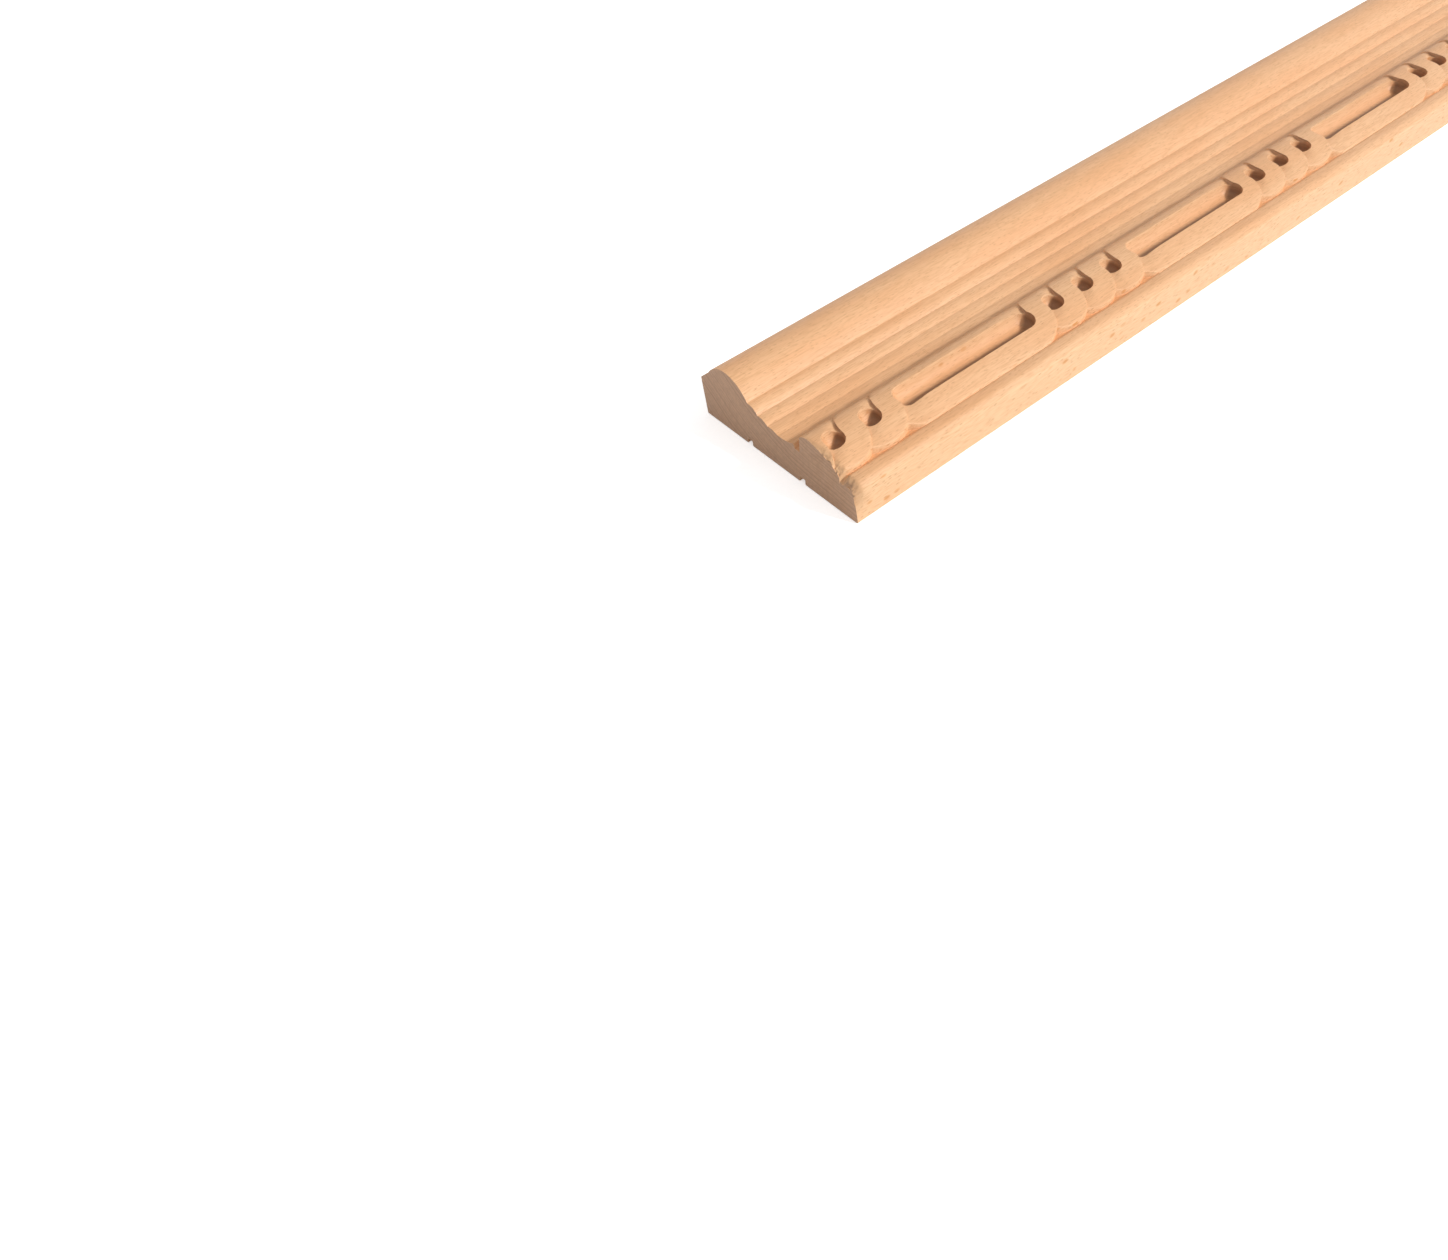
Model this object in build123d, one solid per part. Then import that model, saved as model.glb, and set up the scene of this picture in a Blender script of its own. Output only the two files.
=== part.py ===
from build123d import *
import math
import os

# Stock: length along X, width along Y, thickness along Z, back face on Z = 0
LENGTH = 800.0
WIDTH = 60.0
THICKNESS = 18.0

# Widths of the bands, in order from the roll edge; the cove takes what is left
STRIP_WIDTH = 3.5
ROLL_WIDTH = 17.0
REED_WIDTH = 3.85
REED_COUNT = 3
CHAIN_WIDTH = 16.3
GROOVE_WIDTH = 1.6
LIP_WIDTH = 3.1

# Depths of the bands below the crest of the roll
STRIP_EDGE_DROP = 6.6
ROLL_RISE = 4.4
QUIRK = 0.4
FIRST_REED_DROP = 5.2
REED_STEP = 1.3
REED_NOSE = 0.9
COVE_FOOT_DROP = 7.7
COVE_SAG = 0.6
GROUND_DROP = 8.0
CROWN_DROP = 3.0
LIP_DROP = 6.4
LIP_BEVEL_WIDTH = 0.9
LIP_BEVEL_DROP = 2.1

# Bead that the chain is carved from: place of its crest and fall to each side
CREST_OFFSET = 4.8
INNER_FALL = 3.3
OUTER_FALL = 3.15

# Carved chain: round rings in groups, one long link between the groups
EYE_DIAMETER = 6.0
EYE_PITCH = 11.0
EYE_COUNT = 3
SLOT_SPAN = 39.6
RING_WIDTH = 15.3
LOBE_RADIUS = 13.0
POCKET_DEPTH = 3.0
FIRST_EYE = 4.6

# Crossings: edge of the upper strand, and the fall of the strand that goes under it
STRAND_EDGE_RADIUS = 8.4
DIP_DEPTH = 1.0
DIP_ANGLE = 82.0

# Relief kerfs along the back
KERF_WIDTH = 2.0
KERF_DEPTH = 1.5
KERF_SPACING = 21.0

# Places across the width that follow from the sizes above
ROLL_START = STRIP_WIDTH
REED_START = ROLL_START + ROLL_WIDTH
COVE_START = REED_START + REED_COUNT * REED_WIDTH
LIP_START = WIDTH - LIP_WIDTH
CHAIN_END = LIP_START - GROOVE_WIDTH
CHAIN_START = CHAIN_END - CHAIN_WIDTH
CHAIN_Y = WIDTH / 2 - (CHAIN_START + CHAIN_END) / 2

# Heights above the back that follow from the sizes above
ROLL_FOOT_Z = THICKNESS - ROLL_RISE
GROUND_Z = THICKNESS - GROUND_DROP
CROWN_Z = THICKNESS - CROWN_DROP
LIP_Z = THICKNESS - LIP_DROP
COVE_FOOT_Z = THICKNESS - COVE_FOOT_DROP
CREST = CHAIN_START + CREST_OFFSET

# Middle of a strand, measured from the eye it goes round
STRAND_MIDDLE = (EYE_DIAMETER + RING_WIDTH) / 4

# Places along the length
REPEAT = (EYE_COUNT + 1) * EYE_PITCH + SLOT_SPAN
NEAR_END = -LENGTH / 2

# Cutters stand this far clear of what they cut
CLEAR = 1.0


def at(distance, height):
    """Point of the section: distance from the roll edge, height above the back."""
    return (WIDTH / 2 - distance, height)


def roll_lines():
    """Sloping strip at the edge and the big roll beside it."""
    foot = ROLL_FOOT_Z + QUIRK
    Polyline(at(0, 0), at(0, THICKNESS - STRIP_EDGE_DROP), at(ROLL_START, foot), at(ROLL_START, ROLL_FOOT_Z))
    ThreePointArc(
        at(ROLL_START, ROLL_FOOT_Z),
        at(ROLL_START + ROLL_WIDTH / 2, THICKNESS),
        at(REED_START, ROLL_FOOT_Z),
    )


def reed_lines():
    """Stepped reeds, each with a flat top and a rounded nose; returns the last point."""
    last = at(REED_START, ROLL_FOOT_Z)
    half = REED_NOSE * math.sin(math.pi / 4)
    for index in range(REED_COUNT):
        start = REED_START + index * REED_WIDTH
        end = start + REED_WIDTH
        top = THICKNESS - FIRST_REED_DROP - index * REED_STEP
        flat_end = end - REED_NOSE
        foot = top - REED_NOSE
        Polyline(last, at(start, top), at(flat_end, top))
        ThreePointArc(at(flat_end, top), at(flat_end + half, foot + half), at(end, foot))
        last = at(end, foot)
    return last


def cove_lines(start):
    """Shallow cove between the last reed and the chain."""
    middle_z = (start[1] + COVE_FOOT_Z) / 2 - COVE_SAG
    ThreePointArc(start, at((COVE_START + CHAIN_START) / 2, middle_z), at(CHAIN_START, COVE_FOOT_Z))


def lip_lines():
    """Ground under the chain and the bevelled lip at the outer edge."""
    Polyline(
        at(CHAIN_START, COVE_FOOT_Z),
        at(CHAIN_START, GROUND_Z),
        at(LIP_START, GROUND_Z),
        at(LIP_START, LIP_Z),
        at(WIDTH - LIP_BEVEL_WIDTH, LIP_Z),
        at(WIDTH, LIP_Z - LIP_BEVEL_DROP),
        at(WIDTH, 0),
    )


def back_lines():
    """Back face with two relief kerfs, drawn from the lip edge to the roll edge."""
    near_kerf = (WIDTH - KERF_SPACING) / 2
    last = at(WIDTH, 0)
    for centre in (near_kerf + KERF_SPACING, near_kerf):
        low = centre + KERF_WIDTH / 2
        high = centre - KERF_WIDTH / 2
        Polyline(last, at(low, 0), at(low, KERF_DEPTH), at(high, KERF_DEPTH), at(high, 0))
        last = at(high, 0)
    Line(last, at(0, 0))


def plain_stock():
    """The run section without the chain."""
    with BuildPart() as stock:
        with BuildSketch(Plane.YZ):
            with BuildLine():
                roll_lines()
                cove_lines(reed_lines())
                lip_lines()
                back_lines()
            make_face()
        extrude(amount=LENGTH / 2, both=True)
    return stock.part


def arc_radius(run, fall):
    """Radius of an arc that is level at its crest and falls this much over this run."""
    return (run ** 2 + fall ** 2) / (2 * fall)


def bead_height(distance):
    """Height of the bead's surface at a distance from the roll edge."""
    run = distance - CREST
    if run < 0:
        radius = arc_radius(CREST_OFFSET, INNER_FALL)
    else:
        radius = arc_radius(CHAIN_WIDTH - CREST_OFFSET, OUTER_FALL)
    return CROWN_Z - radius + math.sqrt(radius ** 2 - run ** 2)


def plain_bead():
    """Leaning bead that the chain is carved from, bedded in the ground."""
    inner = at(CHAIN_START, CROWN_Z - INNER_FALL)
    outer = at(CHAIN_END, CROWN_Z - OUTER_FALL)
    crest = at(CREST, CROWN_Z)
    with BuildPart() as bead:
        with BuildSketch(Plane.YZ):
            with BuildLine():
                Polyline(outer, at(CHAIN_END, GROUND_Z - CLEAR), at(CHAIN_START, GROUND_Z - CLEAR), inner)
                TangentArc(crest, inner, tangent=(1, 0))
                TangentArc(crest, outer, tangent=(-1, 0))
            make_face()
        extrude(amount=LENGTH / 2, both=True)
    return bead.part


def group_starts():
    """Place of the first eye of each group, from just before the near end."""
    first = NEAR_END + FIRST_EYE - EYE_PITCH
    count = math.ceil(LENGTH / REPEAT) + 1
    return [first + index * REPEAT for index in range(count)]


def ring_centres():
    return [start + index * EYE_PITCH for start in group_starts() for index in range(EYE_COUNT)]


def slot_centres():
    offset = EYE_COUNT * EYE_PITCH + SLOT_SPAN / 2
    return [start + offset for start in group_starts()]


def crossings():
    """Middle of each crossing of the two strands."""
    before = [centre - EYE_PITCH / 2 for centre in ring_centres()]
    after = [start + (EYE_COUNT - 0.5) * EYE_PITCH for start in group_starts()]
    return before + after


def lobe():
    """Outline of one ring: the lens between two shallow arcs."""
    offset = LOBE_RADIUS - RING_WIDTH / 2
    return Pos(0, offset) * Circle(LOBE_RADIUS) & Pos(0, -offset) * Circle(LOBE_RADIUS)


def chain_outline():
    """Rings and long links seen from above, notched down to the ground between them."""
    outline = Sketch() + [Pos(x, CHAIN_Y) * lobe() for x in ring_centres()]
    outline += [Pos(x, CHAIN_Y) * SlotCenterToCenter(SLOT_SPAN, CHAIN_WIDTH) for x in slot_centres()]
    base = Pos(0, 0, GROUND_Z - CLEAR)
    return extrude(base * outline, amount=CROWN_Z - GROUND_Z + 2 * CLEAR)


def pockets():
    """Round eyes and long slots, sunk to one depth below the crown."""
    mouth = Pos(0, 0, CROWN_Z + CLEAR)
    depth = -POCKET_DEPTH - CLEAR
    eye = extrude(mouth * Circle(EYE_DIAMETER / 2), amount=depth)
    slot = extrude(mouth * SlotCenterToCenter(SLOT_SPAN, EYE_DIAMETER), amount=depth)
    eyes = [Pos(x, CHAIN_Y, 0) * eye for x in ring_centres()]
    slots = [Pos(x, CHAIN_Y, 0) * slot for x in slot_centres()]
    return eyes + slots


def strand_point(side, angle, depth):
    """Point on the middle of the under strand, this deep below the bead's surface."""
    x = side * (STRAND_MIDDLE * math.cos(angle) - EYE_PITCH / 2)
    y = side * STRAND_MIDDLE * math.sin(angle)
    return Vector(x, y, bead_height(WIDTH / 2 - CHAIN_Y - y) - depth)


def dip_plane(side):
    """Plane that falls along the under strand and leans as the bead does."""
    reach = EYE_PITCH ** 2 + STRAND_MIDDLE ** 2 - STRAND_EDGE_RADIUS ** 2
    end_angle = math.acos(reach / (2 * EYE_PITCH * STRAND_MIDDLE))
    start = strand_point(side, math.radians(DIP_ANGLE), 0)
    end = strand_point(side, end_angle, DIP_DEPTH)
    along = end - start
    level = Vector(-side * along.Y, side * along.X, 0).normalized()
    distance = WIDTH / 2 - CHAIN_Y - end.Y
    rise = bead_height(distance - level.Y) - bead_height(distance)
    normal = along.cross(level + Vector(0, 0, rise))
    return Plane(origin=end, x_dir=along, z_dir=normal * side)


def dip(side):
    """Cut that takes the upper (1) or lower (-1) under strand below a crossing on the origin."""
    tall = 4 * POCKET_DEPTH
    cut = dip_plane(side) * Box(EYE_PITCH, EYE_PITCH, POCKET_DEPTH, align=(Align.CENTER, Align.CENTER, Align.MIN))
    over_strand = Pos(side * EYE_PITCH / 2, 0, CROWN_Z) * Cylinder(STRAND_EDGE_RADIUS, tall)
    far_side = Pos(0, -side * CHAIN_WIDTH / 2, CROWN_Z) * Box(4 * EYE_PITCH, CHAIN_WIDTH, tall)
    return cut - over_strand - far_side


def dips():
    """Both cuts of every crossing."""
    cuts = [dip(1), dip(-1)]
    return [Pos(x, CHAIN_Y, 0) * cut for x in crossings() for cut in cuts]


def chain():
    """Interlaced chain carved out of the bead."""
    links = plain_bead() & chain_outline()
    return links - (pockets() + dips())


def moulding():
    return plain_stock() + chain()


os.makedirs("parts", exist_ok=True)
part = moulding()
part.label = "moulding"
export_step(part, "parts/moulding.step")
print("solids", len(part.solids()), "volume", round(part.volume, 1))
print("box", part.bounding_box())
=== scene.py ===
# %% [markdown]
# # A carved wood moulding
# The object is one length of beech trim, 60 mm wide and 18 mm thick. A moulder plane runs the
# roll, the reeds and the cove along it, and a carver cuts a chain of interlaced links into the
# bead beside the lip. The CAD model gives its size and its main forms. Here one repeat of the
# chain is meshed finely, repeated by Geometry Nodes, cut to length, and given wood, light and a
# camera. All helpers work in millimetres, and the meshes end up in metres.

# %% Load the frame
import bmesh
import bpy
import math
from mathutils import Euler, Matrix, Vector, noise
from mathutils.geometry import delaunay_2d_cdt
from mathutils.kdtree import KDTree


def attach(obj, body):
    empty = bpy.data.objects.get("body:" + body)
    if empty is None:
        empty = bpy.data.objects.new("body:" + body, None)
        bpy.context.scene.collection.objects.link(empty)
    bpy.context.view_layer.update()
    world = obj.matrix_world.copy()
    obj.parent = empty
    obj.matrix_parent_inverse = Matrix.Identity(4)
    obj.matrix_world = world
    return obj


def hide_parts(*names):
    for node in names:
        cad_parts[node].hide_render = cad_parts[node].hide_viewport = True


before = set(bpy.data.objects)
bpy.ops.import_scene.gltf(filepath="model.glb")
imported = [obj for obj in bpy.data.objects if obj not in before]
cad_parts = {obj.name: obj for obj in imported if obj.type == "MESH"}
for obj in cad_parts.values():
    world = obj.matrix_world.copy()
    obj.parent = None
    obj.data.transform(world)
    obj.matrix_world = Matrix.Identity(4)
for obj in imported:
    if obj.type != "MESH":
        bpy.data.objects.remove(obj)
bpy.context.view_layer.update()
MM = 0.001
LENGTH = 800.0
WIDTH = 60.0
THICKNESS = 18.0

# %% [markdown]
# ## Curves for the section
# A moulding's section is drawn once and run along the wood. It could be filleted edge by edge
# after it is extruded, but a polyline that is already rounded meshes more cleanly. Planed corners
# are never perfectly sharp, so one helper rounds every corner of a polyline a little, which gives
# each edge a thin line of light in the render.

# %% Helpers for curves
def arc_through(a, b, c, steps):
    """Points of the arc from a over b to c."""
    ax, ay = a
    bx, by = b
    cx, cy = c
    d = 2 * (ax * (by - cy) + bx * (cy - ay) + cx * (ay - by))
    sa, sb, sc = ax * ax + ay * ay, bx * bx + by * by, cx * cx + cy * cy
    ox = (sa * (by - cy) + sb * (cy - ay) + sc * (ay - by)) / d
    oy = (sa * (cx - bx) + sb * (ax - cx) + sc * (bx - ax)) / d
    radius = math.hypot(ax - ox, ay - oy)
    start = math.atan2(ay - oy, ax - ox)
    turn = math.atan2(cy - oy, cx - ox) - start
    middle = math.atan2(by - oy, bx - ox) - start
    while turn > math.pi:
        turn -= 2 * math.pi
    while turn < -math.pi:
        turn += 2 * math.pi
    if middle * turn < 0:
        turn -= math.copysign(2 * math.pi, turn)
    angles = [start + turn * i / steps for i in range(steps + 1)]
    return [(ox + radius * math.cos(angle), oy + radius * math.sin(angle)) for angle in angles]


def soften(points, radius, steps=3):
    """The same polyline with each sharp corner rounded."""
    out = [points[0]]
    for before, corner, after in zip(points, points[1:], points[2:]):
        p, q, r = Vector(before), Vector(corner), Vector(after)
        run_in, run_out = q - p, r - q
        if run_in.angle(run_out) < math.radians(20):
            out.append(corner)
            continue
        reach = min(radius, run_in.length * 0.45, run_out.length * 0.45)
        first = q - run_in.normalized() * reach
        last = q + run_out.normalized() * reach
        for i in range(steps + 1):
            t = i / steps
            out.append(tuple((1 - t) ** 2 * first + 2 * t * (1 - t) * q + t * t * last))
    return out + [points[-1]]


def eased(value):
    """0 below 0, 1 above 1, and a smooth step between."""
    value = min(max(value, 0.0), 1.0)
    return value * value * (3 - 2 * value)


def spaced(start, end, step):
    """Values from start to end, both included, about a step apart."""
    count = max(1, round((end - start) / step))
    return [start + (end - start) * i / count for i in range(count + 1)]


print("eased half way", eased(0.5))

# %% [markdown]
# ## The section
# Distances are measured from the roll edge and heights from the back. After the sloping strip and
# the roll come three reeds, each with a narrow flat, a convex nose and a fine groove at its foot.
# The cove is a shallow arc that falls into a quirk, which is the joiner's word for the narrow
# groove beside the chain. The carved band between the two lines below is made later.

# %% Places across the section
STRIP_EDGE = 11.4
STRIP_TOP = 14.0
ROLL_START = 3.5
ROLL_FOOT = 13.6
ROLL_CREST = 12.0
REEDS = ((20.5, 13.2), (24.35, 11.5), (28.2, 10.4), (32.05, 9.85))
REED_FLAT = 0.6
REED_GROOVE = 0.2
COVE_START = 32.05
COVE_BOTTOM = (35.2, 9.8)
COVE_END = 37.9
COVE_TOP = 10.6
QUIRK_END = 38.5
QUIRK_FLOOR = 9.4
BAND_START = 37.6
BAND_END = 56.4
LIP_TOP = 10.93
LIP_SHOULDER = 58.3
LIP_EDGE = 9.3
SIDE_MIDDLE = 5.0
KERF_MIDDLES = (40.5, 19.5)
KERF_DEPTH = 1.5
COVE_LINE = arc_through(REEDS[-1], COVE_BOTTOM, (COVE_END, COVE_TOP), 24)
print("cove points", len(COVE_LINE))


# %% Lines of the section on both sides of the carved band
def cove_height(distance):
    """Shallow arc from the last reed to the chain, and the quirk that falls beside the chain."""
    for (x0, z0), (x1, z1) in zip(COVE_LINE, COVE_LINE[1:]):
        if x0 - 1e-6 <= distance <= x1 + 1e-6:
            return z0 + (z1 - z0) * (distance - x0) / (x1 - x0)
    fall = eased((distance - COVE_END) / (QUIRK_END - COVE_END))
    return COVE_TOP + (QUIRK_FLOOR - COVE_TOP) * fall


def reed(start, top, end, foot):
    """One reed: its flat, then an arc that falls to the groove at its foot."""
    level, shoulder = start + REED_FLAT, top - 0.02
    low = foot - REED_GROOVE
    points = [(start + 0.12, top), (level, shoulder)]
    radius = ((end - level) ** 2 + (top - low) ** 2) / (2 * (top - low))
    for i in range(1, 8):
        run = (end - level) * i / 7
        points.append((level + run, shoulder - radius + math.sqrt(radius ** 2 - run ** 2)))
    return points


def roll_side():
    """From the back at the roll edge, over the roll, down the reeds and into the cove."""
    points = [(0.0, 0.0), (0.0, STRIP_EDGE), (ROLL_START, STRIP_TOP)]
    points += arc_through((ROLL_START, ROLL_FOOT), (ROLL_CREST, THICKNESS), REEDS[0], 28)
    for (start, top), (end, foot) in zip(REEDS, REEDS[1:]):
        points += reed(start, top, end, foot)
    points += [(COVE_START + i * 0.7, cove_height(COVE_START + i * 0.7)) for i in range(1, 8)]
    return soften(points + [(BAND_START, cove_height(BAND_START))], 0.25)


def lip_side():
    """From the lip's top, over its rounded corner and the side face, to the back's two kerfs."""
    top = [(BAND_END, LIP_TOP), (LIP_SHOULDER, LIP_TOP - 0.15), (WIDTH, LIP_EDGE)]
    back = [(WIDTH, SIDE_MIDDLE), (WIDTH, 0.0)]
    for middle in KERF_MIDDLES:
        near, far = middle + 1, middle - 1
        back += [(near, 0.0), (near, KERF_DEPTH), (far, KERF_DEPTH), (far, 0.0)]
    return soften(top + back[:1], 1.1, 6) + soften(back + [(0.0, 0.0)], 0.25)[1:]


ROLL_LINE = roll_side()
LIP_LINE = lip_side()
print("section points", len(ROLL_LINE) + len(LIP_LINE))

# %% [markdown]
# ## The carved band
# The chain is carved out of a leaning bead. Two strands weave round the eyes, and at each crossing
# one of them sinks under the other's edge. All of it is one surface seen from above, so its height
# can be written as a function of the place. Here u runs along the wood from the first eye of a
# group of three, and v runs across it towards the roll, from the chain's middle line.

# %% Sizes of the chain
CHAIN_MIDDLE = 47.15
EYE_PITCH = 11.0
HALF_PITCH = EYE_PITCH / 2
EYES = (0.0, 11.0, 22.0)
MIDDLE = 11.0
SLOT_ENDS = (-11.0, 33.0)
REPEAT = 83.6
CROSSINGS = (-5.5, 5.5, 16.5, 27.5)
EYE_RADIUS = 2.66
SLOT_RADIUS = 3.02
LOBE_RADIUS = 13.0
LOBE_SHIFT = 5.35
LOBE_LENGTH = 12.0
LINK_HALF = 8.15
CREST = 43.8
CROWN = 15.0
COVE_SIDE_RADIUS = 5.141
LIP_SIDE_RADIUS = 19.301


def bead(v):
    """Height of the plain bead."""
    run = CHAIN_MIDDLE - v - CREST
    radius = COVE_SIDE_RADIUS if run < 0 else LIP_SIDE_RADIUS
    return CROWN - radius + math.sqrt(max(radius ** 2 - run ** 2, 0.0))


def slot_along(u):
    """How far u is off the end of the nearest slot: above 0 to its right, below 0 to its left."""
    return max(u - SLOT_ENDS[0], 0.0) if u < MIDDLE else min(u - SLOT_ENDS[1], 0.0)


def from_slot(u, v):
    """Distance from the middle line of the nearest long slot."""
    return math.hypot(slot_along(u), v)


def inside(u, v):
    """Distance inside the chain's outline, negative outside it."""
    best = LINK_HALF - from_slot(u, v)
    for eye in EYES:
        if abs(u - eye) < LOBE_LENGTH:
            best = max(best, LOBE_RADIUS - math.hypot(u - eye, abs(v) + LOBE_SHIFT))
    return best


print("crest", round(bead(CHAIN_MIDDLE - CREST), 3), "ring half width", inside(0, 0))

# %% [markdown]
# At a crossing the strand above keeps its round edge, a circle round its own eye. The strand below
# dips beside that edge and climbs back along its run. The dip is deepest next to the eye and
# fades towards the chain's outer edge, where the carver's gouge runs out.

# %% How far a strand is sunk at the crossings
OVER_RADIUS = 8.4
DIP = 0.8
RING_DIP_RUN = 3.4
LINK_DIP_RUN = 8.3
STEP_WIDTH = 0.2
FADE_START = 2.4
FADE_RUN = 2.8
FADE_SHARE = 0.62
EDGE_FADE = 0.9


def sunk(u, v):
    """How far the under strand is sunk: most beside the eye, least at the chain's edge."""
    depth = 0.0
    side = 1 if v > 0 else -1
    outwards = eased((abs(v) - FADE_START) / FADE_RUN)
    at_edge = eased(inside(u, v) / EDGE_FADE) if v < 0 else 1.0
    for crossing in CROSSINGS:
        over = crossing + side * HALF_PITCH
        if (u - over) * side > 0:
            continue
        link_is_under = crossing == (CROSSINGS[0] if side > 0 else CROSSINGS[-1])
        beyond = math.hypot(u - over, v) - OVER_RADIUS
        fade = eased(1 - beyond / (LINK_DIP_RUN if link_is_under else RING_DIP_RUN))
        edge = eased((beyond + 0.12) / STEP_WIDTH)
        depth = max(depth, DIP * (1 - FADE_SHARE * outwards) * at_edge * fade * edge)
    return depth


print("dip beside a crossing", round(sunk(3.05, 3.0), 3))

# %% [markdown]
# The eyes and the long slots are cut with a round cutter that comes in on a slant. So a pit has an
# upright wall on one side, and rises gently on the side where the cutter left it. The deep half
# of each pit gets painted shade, a dark brown in place of the shadow that falls there.

# %% Pits and the shade painted in them
POCKET_FLOOR = 11.75
WALL_POWER = 3.2
# How far the painted shade in each eye and slot reaches, and how softly it fades out
EYE_SHADE_REACH = 1.35
SLOT_SHADE_REACH = 0.65
SHADE_RUN = 1.25


def cutters(u):
    """For each eye and the nearest slot: place along it, radius, and reach of its painted shade."""
    eyes = [(u - eye, EYE_RADIUS, EYE_SHADE_REACH) for eye in EYES]
    return eyes + [(slot_along(u), SLOT_RADIUS, SLOT_SHADE_REACH)]


def bowl(r, radius, soft):
    """Height in a pit: upright wall and flat floor where soft is 0, a gentle rise where it is 1."""
    if r < radius:
        wall = radius * (1 - (1 - (r / radius) ** WALL_POWER) ** (1 / WALL_POWER))
    else:
        wall = radius + (r - radius) * 14
    return POCKET_FLOOR + wall * (1 - soft) + radius * (r / radius) ** 4 * soft


def softness(across, along, r):
    """1 on the side where the cutter left the pit, towards the roll and the near end, else 0."""
    if r < 1e-6:
        return 0.0
    return min(max(0.12 + 0.78 * (0.85 * across - 0.5 * along) / r, 0.0), 1.0)


def pit(u, v):
    """Height of the pit, or a great height beside it, and how gently it rises there."""
    best, gentle = 99.0, 0.0
    for along, radius, _ in cutters(u):
        r = math.hypot(along, v)
        if r < radius * 1.3:
            soft = softness(v, along, r)
            best, gentle = min((best, gentle), (bowl(r, radius, soft), soft))
    return best, gentle


def cut_and_shade(u, v):
    """Two marks: 1 inside a pit, and 1 in its deep half, where shade is painted."""
    cut, painted_shade = 0.0, 0.0
    for along, radius, reach in cutters(u):
        r = math.hypot(along, v)
        if r >= radius * 1.06:
            continue
        # painted shade: the deep half of the pit, on the lamps' side, where the shadow falls, is
        # marked
        deep = reach - (0.87 * v - 0.5 * along)
        cut = max(cut, eased((1.06 - r / radius) / 0.12))
        painted_shade = max(painted_shade, eased(deep / SHADE_RUN) * eased((1.03 - r / radius) / 0.05))
    return cut, painted_shade


print("marks at the eye", cut_and_shade(0, 0))

# %% [markdown]
# The surface is the bead, less the dips, with the pits blended in and the outer edge rounded. It
# never falls below the ground, which is the cove's end on one side and a soft rise to the lip on
# the other.

# %% Height of the carved surface
GROUND = 10.25
LIP_RISE = 54.6
LIP_START = 55.9
SOFT = 0.28
SKIRT = 0.14
EDGE_SLOPE = 40
SHARP_BLEND = 0.2
GENTLE_BLEND = 0.5


def ground(v):
    """Height of the wood beside the chain."""
    d = CHAIN_MIDDLE - v
    if v > 0:
        return cove_height(d)
    return GROUND + (LIP_TOP - GROUND) * eased((d - LIP_RISE) / (LIP_START - LIP_RISE))


def height(u, v):
    """Height of the carved band's surface."""
    low = ground(v)
    within = inside(u, v)
    if within <= -SKIRT:
        return low
    top = bead(v) - sunk(u, v)
    hole, gentle = pit(u, v)
    reach = SHARP_BLEND + GENTLE_BLEND * gentle
    if hole < top + reach:
        mix = min(max(0.5 + 0.5 * (hole - top) / reach, 0.0), 1.0)
        top = hole + (top - hole) * mix - reach * mix * (1 - mix)
    if within <= 0:
        top -= SOFT - within * EDGE_SLOPE
    elif within < SOFT:
        top -= SOFT - math.sqrt(max(SOFT ** 2 - (SOFT - within) ** 2, 0.0))
    return max(top, low)


print("eye floor", round(height(0, 0), 3), "beside the lip", round(height(0, -8.5), 3))

# %% [markdown]
# ## A plan with crisp edges
# A plan is drawn first: rows of points along every edge that must look crisp, and a loose grid
# between them. The Delaunay triangulation in mathutils keeps those rows as edges, and each point
# is then lifted to its height. This gives clean rims from few triangles, which neither a plain
# grid nor a boolean would.

# %% Rows along the chain's outline
HALF = REPEAT / 2
LEFT = MIDDLE - HALF
RIGHT = MIDDLE + HALF
FINE_START = LEFT + 14.6
FINE_END = RIGHT - 14.6
LONG_STEP = 2.8
SHORT_STEP = 0.42
NOTCH_SHIFTS = (-0.14, 0.0, 0.14)


def outline_v(u, offset):
    """Half width of the chain at u, for the outline moved inwards by offset."""
    low, high = 0.0, 9.0
    for _ in range(30):
        middle = (low + high) / 2
        if inside(u, middle) > offset:
            low = middle
        else:
            high = middle
    return low


def outline_rows():
    """The chain's outer edge, in rows from its top down to the ground, on both sides."""
    stations = spaced(LEFT, LEFT + 14, LONG_STEP)
    stations += spaced(FINE_START, FINE_END, SHORT_STEP)
    stations += spaced(RIGHT - 14, RIGHT, LONG_STEP)
    stations = [u for u in stations if min(abs(u - notch) for notch in CROSSINGS) > 0.25]
    stations += [notch + shift for notch in CROSSINGS for shift in NOTCH_SHIFTS]
    stations.sort()
    rows = []
    for offset in (SOFT + 0.02, SOFT * 0.55, SOFT * 0.2, 0.0, -SKIRT):
        line = [(u, outline_v(u, offset)) for u in stations]
        rows += [line, [(u, -v) for u, v in line]]
    return rows


OUTLINE_ROWS = outline_rows()
print("outline rows", len(OUTLINE_ROWS), "points in each", len(OUTLINE_ROWS[0]))

# %% Rows round the pits
PIT_ROWS = (1.1, 1.045, 1.012, 0.99, 0.955, 0.88, 0.75, 0.55, 0.3)
EYE_STEPS = 44
TURN_STEPS = 24
SLOT_STEPS = 9


def rim(middle, angle, radius, level=False):
    """Distance from a pit's middle to where it meets the wood round it."""
    low, high = radius * 0.6, radius * 1.2
    for _ in range(24):
        r = (low + high) / 2
        u, v = middle + r * math.cos(angle), r * math.sin(angle)
        if pit(u, v)[0] < bead(v) - (0.0 if level else sunk(u, v)):
            low = r
        else:
            high = r
    return low


def around(middle, angles, radius, part):
    """Points at a share of the rim's distance from a pit's middle."""
    line = []
    for angle in angles:
        r = rim(middle, angle, radius) * part
        line.append((middle + r * math.cos(angle), r * math.sin(angle)))
    return line


def eye_rows(middle):
    """Closed rows round an eye, from just outside its rim to near its middle."""
    angles = [2 * math.pi * i / EYE_STEPS for i in range(EYE_STEPS + 1)]
    return [around(middle, angles, EYE_RADIUS, part) for part in PIT_ROWS]


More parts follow.
